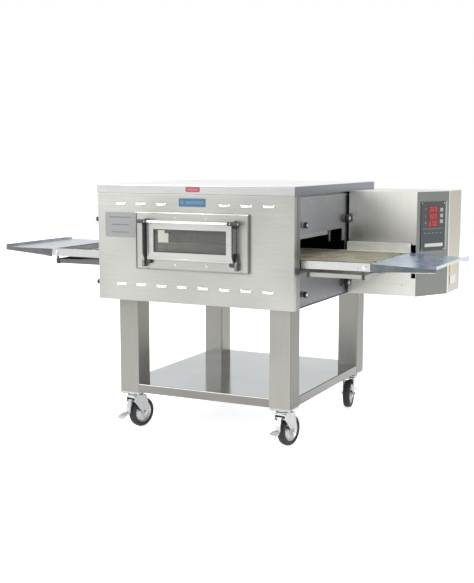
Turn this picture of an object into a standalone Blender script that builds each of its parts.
"""Conveyor pizza oven on a wheeled stand.

Metres, +Z up, the front faces -Y. The origin is on the floor, under the middle of the whole oven.
"""

import math

import bmesh
import bpy
from mathutils import Matrix, Vector

# ---------------------------------------------------------------- driving dimensions
GAP = 0.0003                # clearance between pieces that touch
SHEET = 0.0015              # cabinet sheet
PLATE = 0.002               # heavier sheet: rails, guards, gates

CABINET_HALF = 0.505        # half the width of the cabinet
CABINET_DEPTH = 1.060
HANDLE_Y = -0.049           # the door's handle tube, ahead of the front panel
HANDLE_Z = 1.034
HANDLE_RADIUS = 0.0055
BLOCK_RADIUS = 0.0088       # the black blocks on the ends of the tube
ARM_END = 0.009             # radius of both ends of the door's arms, whose top ends are the foremost point
PEDAL_TIP_BACK = 1.1435     # the rearmost point: the tip of the rear right brake pedal
FRONT = -(PEDAL_TIP_BACK + HANDLE_Y - ARM_END) / 2  # Y of the front panel's face
CABINET_LOW = 0.656         # underside of the cabinet
LID_LOW = 1.160             # lower edge of the lid's skirt
LID_TOP = 1.200
RETURN_DEPTH = 0.027        # the front panel's folded edges
POST_FRONT = 0.0285         # corner post, measured back from the front face
POST_BACK = 0.062
POST_IN = 0.480             # inner side of the corner posts
REAR_POST = (0.985, 1.040)
RAIL_IN = 0.465             # inner side of the frame's long rails
RAIL_OUT = 0.490
SIDE_PANEL = (0.4945, 0.4965)
REAR_COVER_BACK = CABINET_DEPTH + 0.058

LEG_WIDTH = 0.106
LEG_OUTER = 0.452
LEG_FRONT = 0.091           # front face of the front legs, behind the front panel
LEG_BACK = 1.088
LEG_LOW = 0.186
LEG_WALL = 0.003
CASTER_PLATE = 0.005
SHELF_TOP = 0.233
SHELF_LOW = 0.191

WHEEL_RADIUS = 0.073
TYRE_WIDTH = 0.038
TRAIL = 0.038               # axle behind the swivel axis
PEDAL_PIN = (-0.0275, 0.1385)  # the brake pedal's pivot: distance along the trail, and height
PEDAL_PIN_RADIUS = 0.003
PEDAL_ARM_WIDTH = 0.022
PEDAL_TREAD_WIDTH = 0.036
CROWN = (0.154, 0.160)      # lower and upper face of the fork's top web
CASTERS = {                 # side of X, front or back, and the way the wheel trails, in degrees from +X
    "front_left": (-1, LEG_FRONT, 76),
    "front_right": (1, LEG_FRONT, 80),
    "rear_left": (-1, LEG_BACK - LEG_WIDTH, 62),
    "rear_right": (1, LEG_BACK - LEG_WIDTH, -82),
}

SHAFT_HEIGHT = 0.8575       # conveyor shafts
SHAFT_X = 0.800
SHAFT_RADIUS = 0.006
SPROCKET_RADIUS = 0.0145
BELT_INNER = 0.0148
BELT_OUTER = 0.0165
BELT_Y = (0.0930, 0.6200)
CONVEYOR_FRONT = 0.0695
CONVEYOR_BACK = 0.6435
RAIL_DEPTH = 0.020
RAIL_HEIGHT = (0.841, 0.876)
RAIL_HALF = 0.826
TRAY_END = 1.112            # outer end of the exit trays
EXIT_TRAY_SLOPE = 2.4       # degrees that the right exit tray hangs down
CRUMB_TRAY = (0.530, 0.806) # from and to along X
CRUMB_HEIGHT = (0.806, 0.826)

MOUTH_Y = (0.066, 0.650)    # tunnel mouth through the sides
MOUTH_Z = (0.834, 0.925)
MOUTH_TOP = 0.985           # the mouth's front stretch is taller
MOUTH_TALL_BACK = 0.612
GATE_X = 0.490              # inner face of the shutters, between liner and side panel
GATE_BACK = 0.428
GATE_LOW = 0.968
GATE_TOP = 1.075
GATE_LIP = 0.501            # outer edge of the bent lip under each shutter

LINER_HALF = 0.476
LINER_Y = (0.0630, 0.960)
LINER_Z = (0.715, 1.085)

WINDOW_X = 0.200            # half width of the opening behind the door
WINDOW_Z = (0.880, 1.010)
LINER_CLEAR = 0.015          # how much larger the liner's window opening is, all round
BASE_SHEET = 0.002           # thickness of the flat sheet under the chamber
SURROUND_X = 0.290
SURROUND_Z = (0.810, 1.075)
SURROUND_FACE = -0.012      # front of the surround, ahead of the front panel
DOOR_X = 0.226
DOOR_Z = (0.858, 1.030)
DOOR_Y = (-0.028, -0.0125)
GLASS_X = 0.187
GLASS_Z = (0.893, 0.999)
HINGE_Y = -0.022
HINGE_Z = 0.848

BOX_LEFT = 0.5085           # control box outline
BOX_FRONT = 0.678
BOX_CORNER = (0.850, 0.678)
BOX_SHOULDER = (0.954, 0.864)
BOX_BACK = (0.957, 1.090)
BOX_Z = (0.660, 1.162)
PANEL_SPAN = (0.024, 0.185) # control panel along the angled face
PANEL_Z = (0.877, 1.114)
KEY_HEIGHTS = {"key_up": 1.074, "key_down": 1.046, "key_start": 1.018}

MOTOR_SHAFT_Z = 0.765
CHAIN_Y = 0.700             # the plane of the drive chain
CHAIN_RADIUS = 0.021        # both chain sprockets
CHAIN_TEETH = 12
CHAIN_WIDTH = 0.005
BLOWER_Z = 0.900

# ---------------------------------------------------------------- scene
for old in list(bpy.data.objects):
    bpy.data.objects.remove(old, do_unlink=True)

PARTS = bpy.data.collections.new("conveyor_pizza_oven")
CUTTERS = bpy.data.collections.new("cutters")
bpy.context.scene.collection.children.link(PARTS)
bpy.context.scene.collection.children.link(CUTTERS)


def material(name, colour, roughness, metallic, alpha=1.0):
    made = bpy.data.materials.new(name)
    made.use_nodes = True
    shader = made.node_tree.nodes["Principled BSDF"]
    shader.inputs["Base Color"].default_value = (*colour, 1.0)
    shader.inputs["Roughness"].default_value = roughness
    shader.inputs["Metallic"].default_value = metallic
    shader.inputs["Alpha"].default_value = alpha
    return made


STEEL = material("brushed_steel", (0.62, 0.62, 0.60), 0.35, 1.0)
DARK_STEEL = material("shaded_steel", (0.40, 0.41, 0.42), 0.40, 1.0)
BRIGHT_STEEL = material("polished_steel", (0.80, 0.80, 0.78), 0.18, 1.0)
FILM_STEEL = material("filmed_steel", (0.55, 0.57, 0.68), 0.30, 1.0)
BELT_STEEL = material("belt_wire", (0.33, 0.30, 0.24), 0.50, 1.0)
SOOT = material("heat_darkened_steel", (0.06, 0.06, 0.06), 0.60, 1.0)
ZINC = material("zinc_plate", (0.60, 0.61, 0.60), 0.35, 1.0)
RUBBER = material("tyre_rubber", (0.03, 0.03, 0.03), 0.75, 0.0)
BLACK = material("black_nylon", (0.02, 0.02, 0.02), 0.45, 0.0)
PANEL = material("panel_film", (0.10, 0.15, 0.15), 0.40, 0.0)
LAMP = material("display_red", (0.45, 0.03, 0.03), 0.25, 0.0)
KEY = material("key_grey", (0.45, 0.47, 0.46), 0.45, 0.0)
GLASS = material("oven_glass", (0.12, 0.13, 0.11), 0.05, 0.0, 0.4)


# ---------------------------------------------------------------- helpers
def add(name, mesh, look=None):
    """A new object, in the parts when it has a look and in the cutters when it has none."""
    piece = bpy.data.objects.new(name, mesh)
    if look is None:
        CUTTERS.objects.link(piece)
        piece.hide_render = True
        piece.display_type = "WIRE"
    else:
        PARTS.objects.link(piece)
        mesh.materials.append(look)
    return piece


def box_mesh(name, low, high):
    """A box from its low and high corners. Y is measured back from the front panel's face."""
    bm = bmesh.new()
    bmesh.ops.create_cube(bm, size=1.0)
    size = Vector(high) - Vector(low)
    middle = (Vector(high) + Vector(low)) / 2 + Vector((0, FRONT, 0))
    bmesh.ops.scale(bm, vec=size, verts=bm.verts)
    bmesh.ops.translate(bm, vec=middle, verts=bm.verts)
    mesh = bpy.data.meshes.new(name)
    bm.to_mesh(mesh)
    bm.free()
    return mesh


def box(name, low, high, look=None, bevel=0.0):
    piece = add(name, box_mesh(name, low, high), look)
    if bevel:
        round_edges(piece, bevel)
    return piece


def round_edges(piece, width, segments=2):
    edge = piece.modifiers.new("rounded edges", "BEVEL")
    edge.width = width
    edge.segments = segments
    edge.limit_method = "ANGLE"
    edge.angle_limit = math.radians(40)


def pan(name, low, high, open_side, look, thickness=SHEET, bevel=0.0):
    """A folded sheet box with one or more sides left open. open_side is a list such as ["-Z"]."""
    mesh = box_mesh(name, low, high)
    bm = bmesh.new()
    bm.from_mesh(mesh)
    for side in open_side:
        way = Vector([(1 if side[0] == "+" else -1) * (axis == side[1]) for axis in "XYZ"])
        facing = [face for face in bm.faces if face.normal.dot(way) > 0.9]
        bmesh.ops.delete(bm, geom=facing, context="FACES_ONLY")
    bm.to_mesh(mesh)
    bm.free()
    piece = add(name, mesh, look)
    if bevel:
        round_edges(piece, bevel)
    wall = piece.modifiers.new("sheet", "SOLIDIFY")
    wall.thickness = thickness
    wall.offset = -1.0
    wall.use_even_offset = True
    return piece


def cut(piece, cutter):
    knife = piece.modifiers.new("cut by " + cutter.name, "BOOLEAN")
    knife.operation = "DIFFERENCE"
    knife.object = cutter
    knife.solver = "EXACT"


def join(piece, other):
    weld = piece.modifiers.new("joined to " + other.name, "BOOLEAN")
    weld.operation = "UNION"
    weld.object = other
    weld.solver = "EXACT"


def outline_mesh(name, outlines, thickness):
    """A plate from closed outlines in its own XY plane, centred on it in Z. Inner outlines are holes."""
    curve = bpy.data.curves.new(name, "CURVE")
    curve.dimensions = "2D"
    curve.fill_mode = "BOTH"
    curve.extrude = thickness / 2
    for points in outlines:
        spline = curve.splines.new("POLY")
        spline.points.add(len(points) - 1)
        for point, (x, y) in zip(spline.points, points):
            point.co = (x, y, 0, 1)
        spline.use_cyclic_u = True
    drawn = bpy.data.objects.new(name, curve)
    CUTTERS.objects.link(drawn)
    bpy.context.view_layer.update()
    mesh = bpy.data.meshes.new_from_object(drawn.evaluated_get(bpy.context.evaluated_depsgraph_get()))
    bpy.data.objects.remove(drawn, do_unlink=True)
    bm = bmesh.new()
    bm.from_mesh(mesh)
    bmesh.ops.remove_doubles(bm, verts=bm.verts, dist=1e-6)
    bmesh.ops.recalc_face_normals(bm, faces=bm.faces)
    bm.to_mesh(mesh)
    bm.free()
    mesh.name = name
    mesh.shade_smooth()
    mesh.set_sharp_from_angle(angle=math.radians(40))
    return mesh


def plate_side(name, outlines, x_from, x_to, look=None):
    """A plate that stands in the YZ plane, from outlines of (distance back, height)."""
    mesh = outline_mesh(name, outlines, abs(x_to - x_from))
    piece = add(name, mesh, look)
    turn = Matrix(((0, 0, 1), (1, 0, 0), (0, 1, 0))).to_4x4()
    piece.matrix_world = Matrix.Translation(((x_from + x_to) / 2, FRONT, 0)) @ turn
    return piece


def plate_front(name, outlines, y_from, y_to, look=None):
    """A plate that stands in the XZ plane, from outlines of (x, height)."""
    mesh = outline_mesh(name, outlines, y_to - y_from)
    piece = add(name, mesh, look)
    turn = Matrix(((1, 0, 0), (0, 0, -1), (0, 1, 0))).to_4x4()
    piece.matrix_world = Matrix.Translation((0, FRONT + (y_from + y_to) / 2, 0)) @ turn
    return piece


def arc(cx, cy, radius, start, end, steps):
    """Points along an arc, angles in degrees."""
    angles = [math.radians(start + (end - start) * i / steps) for i in range(steps + 1)]
    return [(cx + radius * math.cos(a), cy + radius * math.sin(a)) for a in angles]


def circle(cx, cy, radius, steps=16):
    return arc(cx, cy, radius, 0, 360 - 360 / steps, steps - 1)


def turned(name, profile, centre, axis, look=None, segments=24, closed=False, start=None):
    """A turned shape. The profile holds (radius, height on the axis), from the top down the outer side."""
    mesh = bpy.data.meshes.new(name)
    bm = bmesh.new()
    verts = [bm.verts.new((radius, 0, height)) for radius, height in profile]
    last = len(verts) if closed else len(verts) - 1
    for i in range(last):
        bm.edges.new((verts[i], verts[(i + 1) % len(verts)]))
    bm.to_mesh(mesh)
    bm.free()
    piece = add(name, mesh, look)
    x, y, z = centre
    z_axis = Vector(axis).normalized()
    x_axis = Vector(start) if start else z_axis.orthogonal().normalized()
    y_axis = z_axis.cross(x_axis)
    turn = Matrix((x_axis, y_axis, z_axis)).transposed().to_4x4()
    piece.matrix_world = Matrix.Translation((x, y + FRONT, z)) @ turn
    lathe = piece.modifiers.new("turned", "SCREW")
    lathe.steps = segments
    lathe.render_steps = segments
    lathe.use_merge_vertices = True
    lathe.merge_threshold = 0.00005
    lathe.use_smooth_shade = True
    return piece


def rod(name, start, end, radius, look=None, segments=16):
    """A plain round bar between two points. Y is measured back from the front panel's face."""
    start, end = Vector(start), Vector(end)
    length = (end - start).length
    profile = [(0, length), (radius, length), (radius, 0), (0, 0)]
    return turned(name, profile, start, end - start, look, segments)


def carry(name, point, pieces):
    """An empty on the axis of a joint, which the moving pieces hang from."""
    empty = bpy.data.objects.new(name, None)
    empty.empty_display_size = 0.03
    PARTS.objects.link(empty)
    centre = Vector(point) + Vector((0, FRONT, 0))
    empty.location = centre
    for piece in pieces:
        piece.parent = empty
        piece.matrix_parent_inverse = Matrix.Translation(-centre)


# ---------------------------------------------------------------- stand
def leg(place):
    side, front, _ = CASTERS[place]
    x_far, x_near = side * LEG_OUTER, side * (LEG_OUTER - LEG_WIDTH)
    x_low, x_high = min(x_far, x_near), max(x_far, x_near)
    low = (x_low, front, LEG_LOW)
    high = (x_high, front + LEG_WIDTH, CABINET_LOW - GAP)
    tube = pan("leg_" + place, low, high, ["+Z", "-Z"], STEEL, LEG_WALL, 0.004)
    inset = 0.002
    foot = box(
        "foot_of_leg_" + place,
        (x_low + inset, front + inset, LEG_LOW - CASTER_PLATE),
        (x_high - inset, front + LEG_WIDTH - inset, LEG_LOW + CASTER_PLATE),
    )
    join(tube, foot)


for place in CASTERS:
    leg(place)

shelf = pan(
    "lower_shelf",
    (-LEG_OUTER, LEG_FRONT, SHELF_LOW),
    (LEG_OUTER, LEG_BACK, SHELF_TOP),
    ["-Z"],
    BRIGHT_STEEL,
    SHEET,
    0.003,
)
for place, (side, front, _) in CASTERS.items():
    reach = LEG_WIDTH + GAP
    x_pair = sorted((side * (LEG_OUTER + 0.01), side * (LEG_OUTER - reach)))
    y_pair = (front - 0.01, front + reach) if front == LEG_FRONT else (front - GAP, front + LEG_WIDTH + 0.01)
    notch = box("notch_for_leg_" + place, (x_pair[0], y_pair[0], 0.15), (x_pair[1], y_pair[1], 0.30))
    cut(shelf, notch)


# ---------------------------------------------------------------- casters
def caster(place):
    side, front, trail_angle = CASTERS[place]
    swivel = Vector((side * (LEG_OUTER - LEG_WIDTH / 2), front + LEG_WIDTH / 2, 0))
    along = Vector((math.cos(math.radians(trail_angle)), math.sin(math.radians(trail_angle)), 0))
    across = Vector((along.y, -along.x, 0))
    up = Vector((0, 0, 1))
    hub = swivel + along * TRAIL + up * WHEEL_RADIUS
    in_world = Matrix((along, up, across)).transposed().to_4x4()

    def upright(name, outlines, offset, thickness, look=None):
        """A plate in the wheel's plane, from outlines of (distance along the trail, height)."""
        piece = add(name, outline_mesh(name, outlines, thickness), look)
        centre = swivel + across * offset + Vector((0, FRONT, 0))
        piece.matrix_world = Matrix.Translation(centre) @ in_world
        return piece

    tyre, half = WHEEL_RADIUS, TYRE_WIDTH / 2
    profile = [
        (0.0068, 0.022), (0.017, 0.022), (0.019, 0.013), (0.048, 0.011), (0.055, half - 0.002),
        (0.066, half), (tyre - 0.002, half - 0.007), (tyre, 0.004), (tyre, -0.004),
        (tyre - 0.002, 0.007 - half), (0.066, -half), (0.055, 0.002 - half), (0.048, -0.011),
        (0.019, -0.013), (0.017, -0.022), (0.0068, -0.022),
    ]
    turned("caster_wheel_" + place, profile, hub, across, RUBBER, 28, True, up)

    top = LEG_LOW - CASTER_PLATE - GAP
    crown_low, crown_high = CROWN
    crown = [(-0.034, crown_low), (0.048, crown_low), (0.048, crown_high), (-0.034, crown_high)]
    fork = upright("caster_fork_" + place, [crown], 0, 0.0600, ZINC)
    ear = [
        (-0.034, crown_low + 0.003), (-0.034, 0.134), (-0.022, 0.122), (0.020, 0.074),
        *arc(TRAIL, WHEEL_RADIUS, 0.018, 180, 360, 8),
        (0.058, 0.110), (0.048, crown_low + 0.003),
    ]
    for way in (-1, 1):
        cheek = upright("cheek_%s_%d" % (place, way), [ear], way * 0.0285, 0.003)
        join(fork, cheek)
    seat = crown_high - 0.002
    race = [(0, top), (0.036, top), (0.036, top - 0.008), (0.028, seat), (0, seat)]
    join(fork, turned("race_" + place, race, swivel, up, None, 24))
    axle = rod("axle_" + place, hub - across * 0.0345, hub + across * 0.0345, 0.006, None, 12)
    join(fork, axle)
    pin_at, pin_height = PEDAL_PIN
    pin_middle = swivel + along * pin_at + up * pin_height
    half = across * 0.0295
    pin = rod("pedal_pin_" + place, pin_middle - half, pin_middle + half, PEDAL_PIN_RADIUS, None, 12)
    join(fork, pin)

    arm = [
        (-0.020, 0.131), (-0.020, 0.146), (-0.036, 0.146), (-0.046, 0.132), (-0.053, 0.110),
        (-0.055, 0.088), (-0.080, 0.080), (-0.080, 0.074), (-0.048, 0.082), (-0.046, 0.108),
        (-0.040, 0.124), (-0.032, 0.130),
    ]
    tread = [
        (-0.068, 0.086), (-0.098, 0.076), (-0.107, 0.064), (-0.103, 0.061), (-0.094, 0.069),
        (-0.066, 0.076),
    ]
    pin_hole = circle(pin_at, pin_height, PEDAL_PIN_RADIUS + 0.0006, 12)
    pedal = upright("brake_pedal_" + place, [arm, pin_hole], 0, PEDAL_ARM_WIDTH, ZINC)
    join(pedal, upright("tread_" + place, [tread], 0, PEDAL_TREAD_WIDTH))
    carry("pedal_pivot_" + place, pin_middle, [pedal])


for place in CASTERS:
    caster(place)


# ---------------------------------------------------------------- cabinet
def cabinet_frame():
    low, high, member = CABINET_LOW, LID_LOW - 0.002, 0.024
    outer = CABINET_HALF + 0.0005
    frame = box("cabinet_frame", (-outer, POST_FRONT, low), (outer, POST_BACK, high), DARK_STEEL)
    rear = box("rear_portal", (-outer, REAR_POST[0], low), (outer, REAR_POST[1], high))
    join(frame, rear)
    for side in (-1, 1):
        for level, z in (("low", low), ("high", high - member)):
            x_pair = sorted((side * RAIL_IN, side * RAIL_OUT))
            rail = box(
                "frame_rail_%s_%d" % (level, side),
                (x_pair[0], POST_FRONT + 0.005, z),
                (x_pair[1], REAR_POST[1] - 0.005, z + member),
            )
            join(frame, rail)
    cut(
        frame,
        box(
            "frame_opening",
            (-POST_IN, POST_FRONT - 0.02, low + member),
            (POST_IN, REAR_POST[1] + 0.02, high - member),
        ),
    )


cabinet_frame()

front_panel = pan(
    "front_panel",
    (-CABINET_HALF, 0, CABINET_LOW),
    (CABINET_HALF, RETURN_DEPTH, LID_LOW - 0.001),
    ["+Y"],
    STEEL,
    SHEET,
    0.002,
)
window_hole = box(
    "window_hole",
    (-WINDOW_X, -0.05, WINDOW_Z[0]),
    (WINDOW_X, LINER_Y[0] + 0.02, WINDOW_Z[1]),
)
cut(front_panel, window_hole)

LOUVRE_PITCH = 0.1085
LOUVRE_HALF = 0.026
LOUVRE_ROWS = {
    1.112: (-3.5, -2.5, -1.5, 1.5, 2.5, 3.5),
    0.7335: (-3.5, -2.5, -1.5, -0.5, 0.5, 1.5, 2.5, 3.5),
}
for height, places in LOUVRE_ROWS.items():
    for number in places:
        x = number * LOUVRE_PITCH
        slot = box(
            "louvre_slot_%.3f_%.1f" % (height, number),
            (x - LOUVRE_HALF, -0.01, height - 0.005),
            (x + LOUVRE_HALF, 0.01, height + 0.001),
        )
        cut(front_panel, slot)

pan(
    "top_cover",
    (-CABINET_HALF - 0.002, -0.002, LID_LOW),
    (CABINET_HALF + 0.002, CABINET_DEPTH, LID_TOP),
    ["-Z"],
    BRIGHT_STEEL,
    SHEET,
    0.003,
)
box(
    "bottom_pan",
    (GAP - RAIL_IN, POST_BACK + GAP, CABINET_LOW + GAP),
    (RAIL_IN - GAP, REAR_POST[0] - GAP, CABINET_LOW + GAP + BASE_SHEET),
    DARK_STEEL,
)
pan(
    "rear_panel",
    (-RAIL_IN, REAR_POST[1] + GAP, CABINET_LOW + 0.002),
    (RAIL_IN, REAR_COVER_BACK, LID_LOW - 0.015),
    ["-Y"],
    STEEL,
    SHEET,
    0.003,
)


def side_panel(name, side):
    x_pair = sorted((side * SIDE_PANEL[0], side * SIDE_PANEL[1]))
    panel = box(
        name,
        (x_pair[0], POST_BACK + GAP, CABINET_LOW + 0.002),
        (x_pair[1], REAR_POST[0] - GAP, LID_LOW - 0.008),
        DARK_STEEL,
    )
    wide = 0.05
    for tag, back, top in (("low", MOUTH_Y[1], MOUTH_Z[1]), ("tall", MOUTH_TALL_BACK, MOUTH_TOP)):
        mouth = box(
            "%s_mouth_%s" % (name, tag),
            (x_pair[0] - wide, MOUTH_Y[0], MOUTH_Z[0]),
            (x_pair[1] + wide, back, top),
        )
        cut(panel, mouth)


side_panel("side_panel_left", -1)
side_panel("side_panel_right", 1)

liner = pan(
    "chamber_liner",
    (-LINER_HALF, LINER_Y[0], LINER_Z[0]),
    (LINER_HALF, LINER_Y[1], LINER_Z[1]),
    [],
    SOOT,
)
cut(
    liner,
    box(
        "liner_tunnel",
        (-LINER_HALF - 0.02, MOUTH_Y[0], MOUTH_Z[0]),
        (LINER_HALF + 0.02, MOUTH_Y[1], MOUTH_TOP - 0.005),
    ),
)
cut(
    liner,
    box(
        "liner_window",
        (-WINDOW_X - LINER_CLEAR, LINER_Y[0] - 0.02, WINDOW_Z[0] - LINER_CLEAR),
        (WINDOW_X + LINER_CLEAR, LINER_Y[0] + 0.02, WINDOW_Z[1] + LINER_CLEAR),
    ),
)
cut(liner, rod("shaft_hole", (0, LINER_Y[1] - 0.02, BLOWER_Z), (0, LINER_Y[1] + 0.02, BLOWER_Z), 0.012))


def jet_duct(name, low_z, high_z, face):
    """An air duct open at the back, with a row of slots in the side that faces the belt."""
    front, back, half = 0.075, 0.665, 0.42
    duct = pan(name, (-half, front, low_z), (half, back, high_z), ["+Y"], SOOT)
    flange_z = high_z - 0.003 if face == low_z else low_z + 0.0005
    reach = LINER_HALF - SHEET - GAP
    for side in (-1, 1):
        low_x, high_x = sorted((side * (half - 0.001), side * reach))
        flange = box(
            "%s_flange_%d" % (name, side),
            (low_x, front + 0.01, flange_z),
            (high_x, back - 0.01, flange_z + 0.0025),
        )
        join(duct, flange)
    for number in range(7):
        x = (number - 3) * 0.115
        slot = box(
            "%s_slot_%d" % (name, number),
            (x - 0.006, 0.12, face - 0.01),
            (x + 0.006, 0.62, face + 0.01),
        )
        cut(duct, slot)


jet_duct("jet_duct_upper", 0.990, 1.070, 0.990)
jet_duct("jet_duct_lower", 0.730, 0.822, 0.822)


# ---------------------------------------------------------------- blower and heat
def blower():
    radius, width, front, shaft = 0.105, 0.060, 0.700, 0.350
    hub = [
        (0, 0), (0.018, 0), (0.018, -0.030), (0.010, -0.034), (0.010, -width),
        (radius, -width), (radius, -width - 0.003), (0.008, -width - 0.006),
        (0.008, -shaft), (0, -shaft),
    ]
    wheel = turned("blower_wheel", hub, (0, front, BLOWER_Z), (0, -1, 0), SOOT, 24)
    for number in range(10):
        blade = box("blade_%d" % number, (0, 0, -0.001), (0.040, width, 0.001))
        angle = math.radians(36 * number)
        place = Matrix.Rotation(-angle, 4, "Y") @ Matrix.Translation((0.060, 0, 0))
        shift = Matrix.Translation((0, FRONT + front + 0.002, BLOWER_Z))
        tilt = Matrix.Rotation(0.5, 4, "Y") @ Matrix.Translation((0, -FRONT, 0))
        blade.matrix_world = shift @ place @ tilt
        join(wheel, blade)


blower()


def blower_motor():
    """Can motor with a blind bore for the blower's shaft, on four stand-offs from the liner's rear wall."""
    face, bore = 0.985, 0.090
    can = [
        (0, -bore), (0.009, -bore), (0.009, 0), (0.060, 0), (0.064, -0.004), (0.064, -0.095),
        (0.045, -0.110), (0, -0.110),
    ]
    motor = turned("blower_motor", can, (0, face, BLOWER_Z), (0, -1, 0), BLACK, 28)
    for number in range(4):
        angle = math.radians(45 + 90 * number)
        x, z = 0.048 * math.cos(angle), BLOWER_Z + 0.048 * math.sin(angle)
        start, end = (x, LINER_Y[1] + GAP, z), (x, face + 0.005, z)
        join(motor, rod("stand_off_%d" % number, start, end, 0.005, None, 8))


blower_motor()


def heating_element():
    """One ring of sheathed element round the shaft, with two tails to its terminals at the rear wall."""
    ring_radius, tube = 0.150, 0.006
    ring = [(ring_radius + tube * math.cos(a), tube * math.sin(a)) for a in
            [math.radians(-60 * i) for i in range(6)]]
    element = turned("heating_element", ring, (0, 0.880, BLOWER_Z), (0, -1, 0), SOOT, 28, True)
    for side in (-1, 1):
        x = side * 0.030
        z = BLOWER_Z - math.sqrt(ring_radius ** 2 - x ** 2)
        wall = LINER_Y[1] - SHEET - GAP
        join(element, rod("element_tail_%d" % side, (x, 0.880, z), (x, wall, z), 0.0045, None, 8))


heating_element()


# ---------------------------------------------------------------- tunnel gates
def tunnel_gate(name, side):
    gate_front = MOUTH_Y[0] + 0.004
    low, high = sorted((side * GATE_X, side * (GATE_X + PLATE)))
    gate = box(name, (low, gate_front, GATE_LOW), (high, GATE_BACK, GATE_TOP), STEEL)
    low, high = sorted((side * GATE_X, side * GATE_LIP))
    lip = box(name + "_lip", (low, gate_front, GATE_LOW), (high, GATE_BACK, GATE_LOW + PLATE))
    join(gate, lip)
    carry(name + "_guide", (side * GATE_X, (gate_front + GATE_BACK) / 2, GATE_LOW), [gate])


tunnel_gate("tunnel_gate_left", -1)
tunnel_gate("tunnel_gate_right", 1)


# ---------------------------------------------------------------- window and its door
surround = box(
    "window_surround",
    (-SURROUND_X, SURROUND_FACE, SURROUND_Z[0]),
    (SURROUND_X, -GAP, SURROUND_Z[1]),
    STEEL,
    0.003,
)
cut(surround, window_hole)

door = box(
    "door_frame",
    (-DOOR_X, DOOR_Y[0], DOOR_Z[0]),
    (DOOR_X, DOOR_Y[1], DOOR_Z[1]),
    BRIGHT_STEEL,
    0.002,
)
GLASS_LAP = 0.006
GLASS_Y = (DOOR_Y[0] + 0.0040, DOOR_Y[0] + 0.0090)
cut(door, box("glass_sight", (-GLASS_X, -0.05, GLASS_Z[0]), (GLASS_X, 0.0, GLASS_Z[1])))
cut(
    door,
    box(
        "glass_rebate",
        (-GLASS_X - GLASS_LAP - GAP, GLASS_Y[0] - GAP, GLASS_Z[0] - GLASS_LAP - GAP),
        (GLASS_X + GLASS_LAP + GAP, 0.0, GLASS_Z[1] + GLASS_LAP + GAP),
    ),
)
box(
    "door_glass",
    (-GLASS_X - GLASS_LAP, GLASS_Y[0], GLASS_Z[0] - GLASS_LAP),
    (GLASS_X + GLASS_LAP, GLASS_Y[1], GLASS_Z[1] + GLASS_LAP),
    GLASS,
)

BLOCK_INNER = 0.205
BLOCK_OUTER = 0.256
ARM_X = (DOOR_X + GAP, DOOR_X + GAP + 0.005)
ARM_FRONT = -0.053           # the arm's straight front edge
PIN_RADIUS = 0.0035


def door_arm(name, side):
    outline = [
        *arc(HINGE_Y, HINGE_Z, ARM_END, 180, 360, 10),
        (HINGE_Y + ARM_END, 1.020), (HINGE_Y + 0.004, 1.046),
        *arc(HANDLE_Y, HANDLE_Z, ARM_END, 80, 200, 6),
        (ARM_FRONT, 1.012), (ARM_FRONT, 0.888),
    ]
    arm = plate_side(name, [outline, circle(HINGE_Y, HINGE_Z, PIN_RADIUS + 0.0005)],
                     side * ARM_X[0], side * ARM_X[1], BLACK)
    block = rod(name + "_block", (side * BLOCK_INNER, HANDLE_Y, HANDLE_Z),
                (side * BLOCK_OUTER, HANDLE_Y, HANDLE_Z), BLOCK_RADIUS, None, 20)
    join(arm, block)


def hinge_block(name, side):
    x_in = side * (ARM_X[1] + 0.0007)
    x_out = side * (ARM_X[1] + 0.0127)
    face = SURROUND_FACE - GAP
    wedge = [(face, 0.824), (face, 0.896), (face - 0.006, 0.896), (-0.036, 0.856), (-0.036, 0.824)]
    block = plate_side(name, [wedge], x_in, x_out, DARK_STEEL)
    pin_start = (side * (DOOR_X + 0.0005), HINGE_Y, HINGE_Z)
    pin = rod(name + "_pin", pin_start, (x_out - side * 0.002, HINGE_Y, HINGE_Z), PIN_RADIUS, None, 12)
    join(block, pin)


for word, side in (("left", -1), ("right", 1)):
    door_arm("door_arm_" + word, side)
    hinge_block("hinge_block_" + word, side)
rod(
    "handle_tube",
    (GAP - BLOCK_INNER, HANDLE_Y, HANDLE_Z),
    (BLOCK_INNER - GAP, HANDLE_Y, HANDLE_Z),
    HANDLE_RADIUS,
    BRIGHT_STEEL,
    20,
)
DOOR_PIECES = ("door_frame", "door_glass", "handle_tube", "door_arm_left", "door_arm_right")
carry("door_pivot", (0, HINGE_Y, HINGE_Z), [PARTS.objects[name] for name in DOOR_PIECES])


# ---------------------------------------------------------------- conveyor
def conveyor_rail(name, front, back, open_side):
    """A channel that opens towards the belt, with hangers below it for the crumb trays."""
    rail = pan(name, (-RAIL_HALF, front, RAIL_HEIGHT[0]), (RAIL_HALF, back, RAIL_HEIGHT[1]), [open_side],
               BRIGHT_STEEL, PLATE)
    web = (front + 0.0005, front + 0.0025) if open_side == "+Y" else (back - 0.0025, back - 0.0005)
    lip = (web[0], web[0] + 0.020) if open_side == "+Y" else (web[1] - 0.020, web[1])
    for side in (-1, 1):
        for number, inner in enumerate((CRUMB_TRAY[0] + 0.004, CRUMB_TRAY[1] - 0.018)):
            x_pair = sorted((side * inner, side * (inner + 0.012)))
            tag = "%s_%d_%d" % (name, side, number)
            strap = box("hanger_" + tag, (x_pair[0], web[0], CRUMB_HEIGHT[0] - 0.003),
                        (x_pair[1], web[1], RAIL_HEIGHT[0] + 0.001))
            ledge = box("ledge_" + tag, (x_pair[0], lip[0], CRUMB_HEIGHT[0] - 0.003),
                        (x_pair[1], lip[1], CRUMB_HEIGHT[0] - GAP))
            join(rail, strap)
            join(rail, ledge)
    return rail


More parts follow.
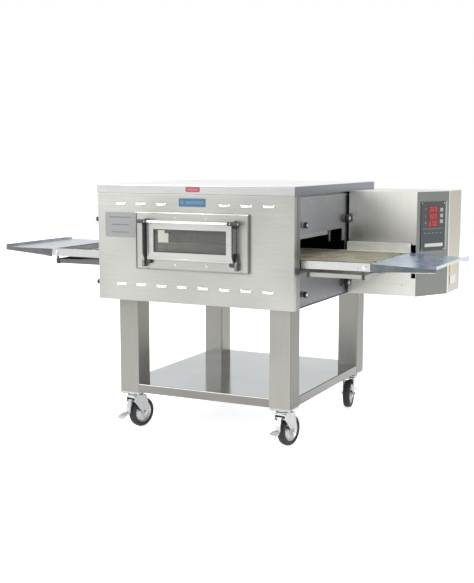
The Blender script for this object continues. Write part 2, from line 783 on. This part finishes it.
conveyor_rail("rail_front", CONVEYOR_FRONT, CONVEYOR_FRONT + RAIL_DEPTH, "+Y")
rail_rear = conveyor_rail("rail_rear", CONVEYOR_BACK - RAIL_DEPTH, CONVEYOR_BACK, "-Y")
cut(rail_rear, rod("shaft_bush", (SHAFT_X, 0.630, SHAFT_HEIGHT), (SHAFT_X, 0.660, SHAFT_HEIGHT), 0.0075))

guard = pan(
    "drive_guard",
    (0.512, CONVEYOR_BACK + GAP, 0.868),
    (RAIL_HALF, CONVEYOR_BACK + 0.022, 0.918),
    ["+Y", "-Z"],
    BRIGHT_STEEL,
    PLATE,
)


def sprocket_shaft(name, x, length):
    """A shaft with five belt sprockets, turned about Y. Heights run back from the front rail."""
    start = CONVEYOR_FRONT + PLATE + 0.001
    profile = [(0, 0), (SHAFT_RADIUS, 0)]
    for number in range(5):
        at = 0.036 + number * 0.1225
        profile += [(SHAFT_RADIUS, -at), (SPROCKET_RADIUS, -at), (SPROCKET_RADIUS, -at - 0.008),
                    (SHAFT_RADIUS, -at - 0.008)]
    profile += [(SHAFT_RADIUS, start - length), (0, start - length)]
    return turned(name, profile, (x, start, SHAFT_HEIGHT), (0, -1, 0), ZINC, 16)


def ring_gear(name, centre, radius, teeth, width):
    """A chain sprocket: a toothed outline, centred at (x, height) on the chain's plane."""
    points = []
    for number in range(teeth):
        for part, size in ((0.0, radius), (0.35, radius), (0.5, radius - 0.0035), (0.85, radius - 0.0035)):
            angle = 2 * math.pi * (number + part) / teeth
            points.append((centre[0] + size * math.cos(angle), centre[1] + size * math.sin(angle)))
    return plate_front(name, [points], CHAIN_Y - width / 2, CHAIN_Y + width / 2)


drive = sprocket_shaft("drive_roller", SHAFT_X, CHAIN_Y + 0.006)
join(drive, ring_gear("drive_sprocket", (SHAFT_X, SHAFT_HEIGHT), CHAIN_RADIUS, CHAIN_TEETH, CHAIN_WIDTH))
sprocket_shaft("idler_roller", -SHAFT_X, CONVEYOR_BACK - PLATE - 0.001)


def loop(x_half, z_low, z_high, radius, steps=10):
    """A closed band outline round two shafts: level when they lie apart in X, upright when apart in Z."""
    if x_half:
        right = arc(x_half, z_low, radius, -90, 90, steps)
        left = arc(-x_half, z_low, radius, 90, 270, steps)
        return right + left
    top = arc(SHAFT_X, z_high, radius, 0, 180, steps)
    bottom = arc(SHAFT_X, z_low, radius, 180, 360, steps)
    return top + bottom


plate_front(
    "belt",
    [loop(SHAFT_X, SHAFT_HEIGHT, SHAFT_HEIGHT, radius) for radius in (BELT_OUTER, BELT_INNER)],
    BELT_Y[0],
    BELT_Y[1],
    BELT_STEEL,
)


def exit_tray(name, side, slope):
    """A sheet that carries on from the belt: skirts that taper outwards, and an upturned end."""
    inner, lip_height, flange = RAIL_HALF + 0.003, 0.012, 0.030
    lean = math.radians(slope)
    length = (TRAY_END - inner - lip_height * math.sin(lean)) / math.cos(lean)
    front, back = CONVEYOR_FRONT + 0.001, CONVEYOR_BACK + 0.001
    bm = bmesh.new()
    rows = []
    for x, skirt in ((0, 0.036), (length, 0.014)):
        section = ((front, -skirt), (front, 0), (back, 0), (back, -skirt))
        rows.append([bm.verts.new((x, y, z)) for y, z in section])
    for i in range(3):
        bm.faces.new((rows[0][i], rows[0][i + 1], rows[1][i + 1], rows[1][i]))
    lip = [bm.verts.new((length, y, lip_height)) for y in (front, back)]
    bm.faces.new((rows[1][1], rows[1][2], lip[1], lip[0]))
    hook = [bm.verts.new((0, y, -flange)) for y in (front + 0.004, back - 0.004)]
    bm.faces.new((rows[0][2], rows[0][1], hook[0], hook[1]))
    bmesh.ops.recalc_face_normals(bm, faces=bm.faces)
    if side < 0:
        bmesh.ops.scale(bm, vec=(-1, 1, 1), verts=bm.verts)
        bmesh.ops.reverse_faces(bm, faces=bm.faces)
    mesh = bpy.data.meshes.new(name)
    bm.to_mesh(mesh)
    bm.free()
    tray = add(name, mesh, FILM_STEEL)
    tray.location = (side * inner, FRONT, 0.8740)
    tray.rotation_euler = (0, side * lean, 0)
    wall = tray.modifiers.new("sheet", "SOLIDIFY")
    wall.thickness = SHEET
    wall.offset = 0.0
    wall.use_even_offset = True


exit_tray("exit_tray_left", -1, 0)
exit_tray("exit_tray_right", 1, EXIT_TRAY_SLOPE)


def crumb_tray(name, side):
    x_pair = sorted((side * CRUMB_TRAY[0], side * CRUMB_TRAY[1]))
    tray = pan(
        name,
        (x_pair[0], CONVEYOR_FRONT + 0.004, CRUMB_HEIGHT[0]),
        (x_pair[1], CONVEYOR_BACK - 0.004, CRUMB_HEIGHT[1]),
        ["+Z"],
        STEEL,
    )
    grip_pair = sorted((side * (CRUMB_TRAY[1] - 0.001), side * (CRUMB_TRAY[1] + 0.014)))
    grip_y, grip_top = (0.28, 0.43), CRUMB_HEIGHT[1] - 0.001
    grip_low = (grip_pair[0], grip_y[0], grip_top - PLATE)
    join(tray, box(name + "_grip", grip_low, (grip_pair[1], grip_y[1], grip_top)))
    carry(name + "_slide", (side * CRUMB_TRAY[0], sum(grip_y) / 2, CRUMB_HEIGHT[0]), [tray])


crumb_tray("crumb_tray_left", -1)
crumb_tray("crumb_tray_right", 1)


# ---------------------------------------------------------------- control box and drive
def control_outline(inset):
    """The box seen from above, drawn in by the sheet's thickness where inset is above zero."""
    (x1, y1), (x2, y2), (x3, y3) = BOX_CORNER, BOX_SHOULDER, BOX_BACK
    lean = inset * 0.53
    return [
        (BOX_LEFT + inset, y1 + inset), (x1 - lean, y1 + inset), (x2 - inset, y2 + lean),
        (x3 - inset, y3 + inset), (BOX_LEFT + inset, y3 + inset),
    ]


def plate_level(name, outline, z_from, z_to, look=None):
    piece = add(name, outline_mesh(name, [outline], z_to - z_from), look)
    piece.location = (0, FRONT, (z_from + z_to) / 2)
    return piece


housing = plate_level("control_housing", control_outline(0), BOX_Z[0], BOX_Z[1], STEEL)
cut(housing, plate_level("housing_inside", control_outline(SHEET), BOX_Z[0] + SHEET, BOX_Z[1] - SHEET))
cut(housing, box("shaft_slot", (0.772, BOX_FRONT - 0.01, 0.846), (0.8475, BOX_FRONT + 0.01, 0.909)))
cut(housing, box("lower_slot", (0.826, BOX_FRONT - 0.01, 0.748), (0.8475, BOX_FRONT + 0.01, 0.776)))
rear_cover = box(
    "control_rear_cover",
    (BOX_LEFT, BOX_BACK[1] + GAP, BOX_Z[0]),
    (BOX_BACK[0], BOX_BACK[1] + GAP + SHEET, BOX_Z[1]),
    STEEL,
)
GLAND_X, GLAND_Z, GLAND_RADIUS, GLAND_LENGTH = 0.860, 0.730, 0.015, 0.024
gland_start = (GLAND_X, BOX_BACK[1] + GAP + SHEET / 2, GLAND_Z)
gland_end = (GLAND_X, gland_start[1] + GLAND_LENGTH, GLAND_Z)
join(rear_cover, rod("cable_gland", gland_start, gland_end, GLAND_RADIUS, None, 20))

FACE_START = Vector((BOX_CORNER[0], BOX_CORNER[1] + FRONT, 0))
FACE_ALONG = (Vector((*BOX_SHOULDER, 0)) - Vector((*BOX_CORNER, 0))).normalized()
FACE_OUT = Vector((FACE_ALONG.y, -FACE_ALONG.x, 0))
PANEL_THICK = 0.003


def on_face(name, span, heights, depths, look=None, bevel=0.0):
    """A box on the angled face: span along the face, heights, and depths outwards from the sheet."""
    low = (span[0], -depths[1] - FRONT, heights[0])
    high = (span[1], -depths[0] - FRONT, heights[1])
    piece = add(name, box_mesh(name, low, high), look)
    turn = Matrix((FACE_ALONG, -FACE_OUT, Vector((0, 0, 1)))).transposed().to_4x4()
    piece.matrix_world = Matrix.Translation(FACE_START) @ turn
    if bevel:
        round_edges(piece, bevel)
    return piece


DISPLAY_SPAN, DISPLAY_Z = (0.066, 0.143), (0.990, 1.096)
KEY_SPAN, KEY_HALF = (0.150, 0.170), 0.009
panel = on_face("control_panel", PANEL_SPAN, PANEL_Z, (GAP, GAP + PANEL_THICK), PANEL, 0.001)
cut(panel, on_face("display_hole", DISPLAY_SPAN, DISPLAY_Z, (-0.01, 0.02)))
on_face(
    "display_window",
    (DISPLAY_SPAN[0] + GAP, DISPLAY_SPAN[1] - GAP),
    (DISPLAY_Z[0] + GAP, DISPLAY_Z[1] - GAP),
    (GAP, GAP + PANEL_THICK),
    LAMP,
)
for name, height in KEY_HEIGHTS.items():
    room = 0.0006
    hole = on_face(name + "_hole", (KEY_SPAN[0] - room, KEY_SPAN[1] + room),
                   (height - KEY_HALF - room, height + KEY_HALF + room), (-0.01, 0.02))
    cut(panel, hole)
    key = on_face(name, KEY_SPAN, (height - KEY_HALF, height + KEY_HALF), (0.0016, 0.0048), KEY, 0.0008)
    middle = FACE_START + FACE_ALONG * sum(KEY_SPAN) / 2 + FACE_OUT * 0.0032
    carry(name + "_guide", (middle.x, middle.y - FRONT, height), [key])


def gear_motor():
    x, z = SHAFT_X, MOTOR_SHAFT_Z
    casing = box("gear_motor", (x - 0.040, 0.712, z - 0.045), (x + 0.030, 0.790, z + 0.035), BLACK)
    join(casing, rod("motor_body", (x - 0.005, 0.785, z), (x - 0.005, 0.930, z), 0.034, None, 20))
    foot_low = (x - 0.050, 0.720, BOX_Z[0] + SHEET + GAP)
    join(casing, box("motor_foot", foot_low, (x + 0.020, 0.800, z - 0.040)))


gear_motor()
stub = ((SHAFT_X, CHAIN_Y - 0.006, MOTOR_SHAFT_Z), (SHAFT_X, CHAIN_Y + 0.0115, MOTOR_SHAFT_Z))
motor_sprocket = rod("motor_sprocket", stub[0], stub[1], 0.005, ZINC, 16)
small = ring_gear("small_sprocket", (SHAFT_X, MOTOR_SHAFT_Z), CHAIN_RADIUS, CHAIN_TEETH, CHAIN_WIDTH)
join(motor_sprocket, small)
plate_front(
    "drive_chain",
    [loop(0, MOTOR_SHAFT_Z, SHAFT_HEIGHT, 0.0262), loop(0, MOTOR_SHAFT_Z, SHAFT_HEIGHT, 0.0214)],
    CHAIN_Y - 0.003,
    CHAIN_Y + 0.003,
    BELT_STEEL,
)
